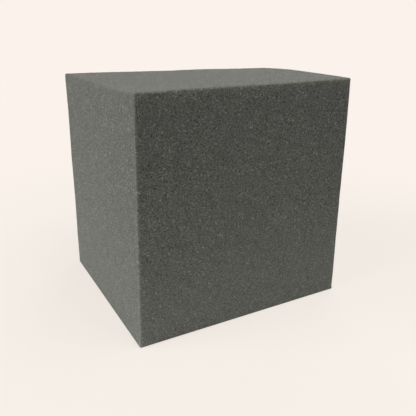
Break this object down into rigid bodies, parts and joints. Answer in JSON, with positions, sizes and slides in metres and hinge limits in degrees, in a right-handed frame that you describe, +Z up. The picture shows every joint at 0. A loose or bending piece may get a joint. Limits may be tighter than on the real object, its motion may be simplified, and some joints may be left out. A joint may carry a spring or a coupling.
{
  "type": "foam block",
  "caption": "Near-cubic block of dark grey open-cell polyurethane foam, knife-cut with slightly rounded edges, for padding, packing, propping or craft work.",
  "frame": {"origin": "middle of the base, on the surface that the block stands on", "axes": "+X along the front face to its right, +Y from the front face to the back, the short way of the block, and +Z up"},
  "size_m": [0.15, 0.13, 0.15],
  "materials": {
    "foam": "matte"
  },
  "bodies": {
    "root": {"foam_block": "foam"}
  },
  "joints": []
}
